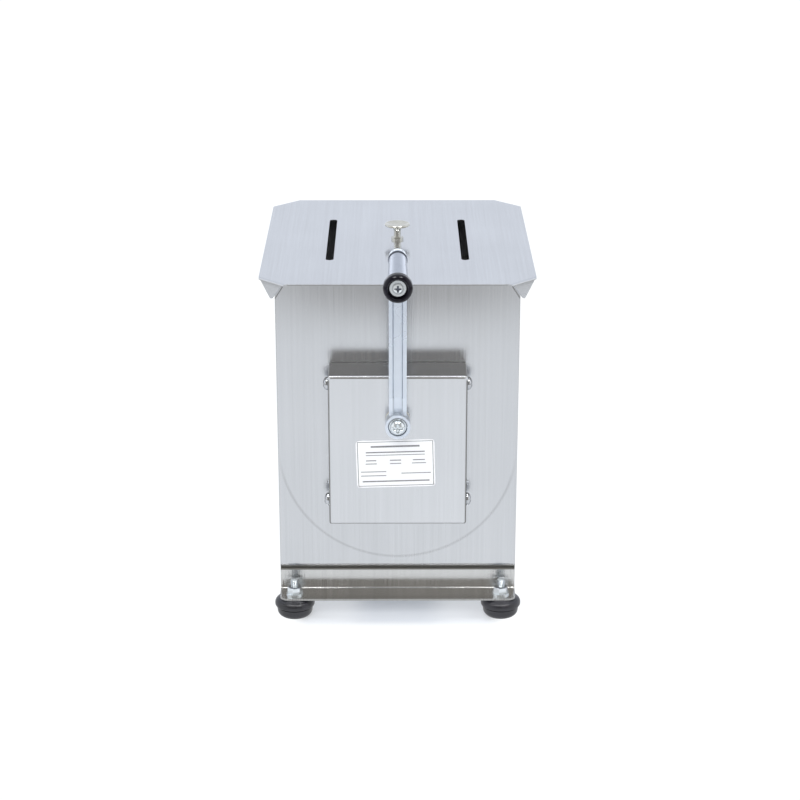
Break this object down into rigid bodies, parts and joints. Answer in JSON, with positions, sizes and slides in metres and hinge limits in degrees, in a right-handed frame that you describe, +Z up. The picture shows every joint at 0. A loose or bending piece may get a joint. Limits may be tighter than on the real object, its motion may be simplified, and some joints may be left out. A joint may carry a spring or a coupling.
{
  "type": "meat mixer",
  "caption": "Hand cranked stainless meat mixer: round-bottomed tub on rubber feet, lift-off slotted lid, geared crank with revolving grip, paddle shaft inside.",
  "frame": {"origin": "on the floor under the middle of the whole object's box, crank and feet included", "axes": "+Z up, the crank side faces -Y, +X to the right of someone who turns the crank"},
  "size_m": [0.272, 0.4848, 0.4053],
  "materials": {
    "stainless": "brushed stainless sheet, straight grain",
    "stainless_bar": "turned stainless steel",
    "zinc": "bright zinc plated steel",
    "gear_steel": "machined steel, oiled",
    "crank_aluminium": "die-cast aluminium, lightly polished",
    "grip_aluminium": "turned aluminium",
    "knob_nickel": "nickel plate, slightly warm",
    "black_rubber": "matt moulded rubber",
    "black_plastic": "satin moulded plastic",
    "bush_nylon": "natural nylon"
  },
  "bodies": {
    "frame": {"trough": "stainless", "front_panel": "stainless", "rear_panel": "stainless", "front_foot_rail": "stainless", "rear_foot_rail": "stainless", "foot_front_left": "black_rubber", "foot_front_right": "black_rubber", "foot_rear_left": "black_rubber", "foot_rear_right": "black_rubber", "foot_studs": "zinc", "foot_washers": "zinc", "foot_nuts": "zinc", "bearing_plate": "stainless", "plate_studs": "zinc", "plate_nuts": "zinc", "cover_brackets": "stainless", "gear_cover": "stainless", "cover_screws": "zinc", "cover_bush": "bush_nylon", "crank_bush": "bush_nylon", "front_shaft_bush": "bush_nylon", "shaft_seal": "black_rubber", "rear_boss": "stainless_bar", "rear_pivot": "stainless_bar"},
    "lid": {"lid": "stainless", "lid_knob": "knob_nickel", "lid_knob_screw": "zinc"},
    "crank": {"crank_shaft": "stainless_bar", "pinion": "gear_steel", "pinion_pin": "gear_steel", "crank_arm": "crank_aluminium", "crank_washer": "zinc", "crank_bolt": "zinc", "grip_spindle": "stainless_bar", "grip_washer": "zinc", "grip_screw": "zinc"},
    "grip": {"grip_sleeve": "grip_aluminium", "grip_end_cap": "black_plastic"},
    "mixer": {"drive_gear": "gear_steel", "gear_pin": "gear_steel", "gear_clip": "gear_steel", "drive_stub": "stainless_bar", "coupling_pin": "stainless_bar", "mixing_shaft": "stainless_bar", "rear_bush": "bush_nylon", "paddle_1": "stainless_bar", "paddle_2": "stainless_bar", "paddle_3": "stainless_bar", "paddle_4": "stainless_bar"}
  },
  "joints": [
    {"name": "crank_turn", "type": "hinge", "parent": "frame", "child": "crank", "pos_m": [0, -0.08182, 0.223], "axis": [0, -1, 0], "continuous": true},
    {"name": "mixer_turn", "type": "hinge", "parent": "frame", "child": "mixer", "pos_m": [0, -0.08182, 0.178], "axis": [0, -1, 0], "continuous": true},
    {"name": "grip_spin", "type": "hinge", "parent": "crank", "child": "grip", "pos_m": [0, -0.08182, 0.3918], "axis": [0, -1, 0], "continuous": true},
    {"name": "lid_lift", "type": "slide", "parent": "frame", "child": "lid", "axis": [0, 0, 1], "range_m": [0, 0.12]}
  ],
  "couplings": [
    {"joint": "mixer_turn", "follows": "crank_turn", "ratio": -0.5}
  ]
}
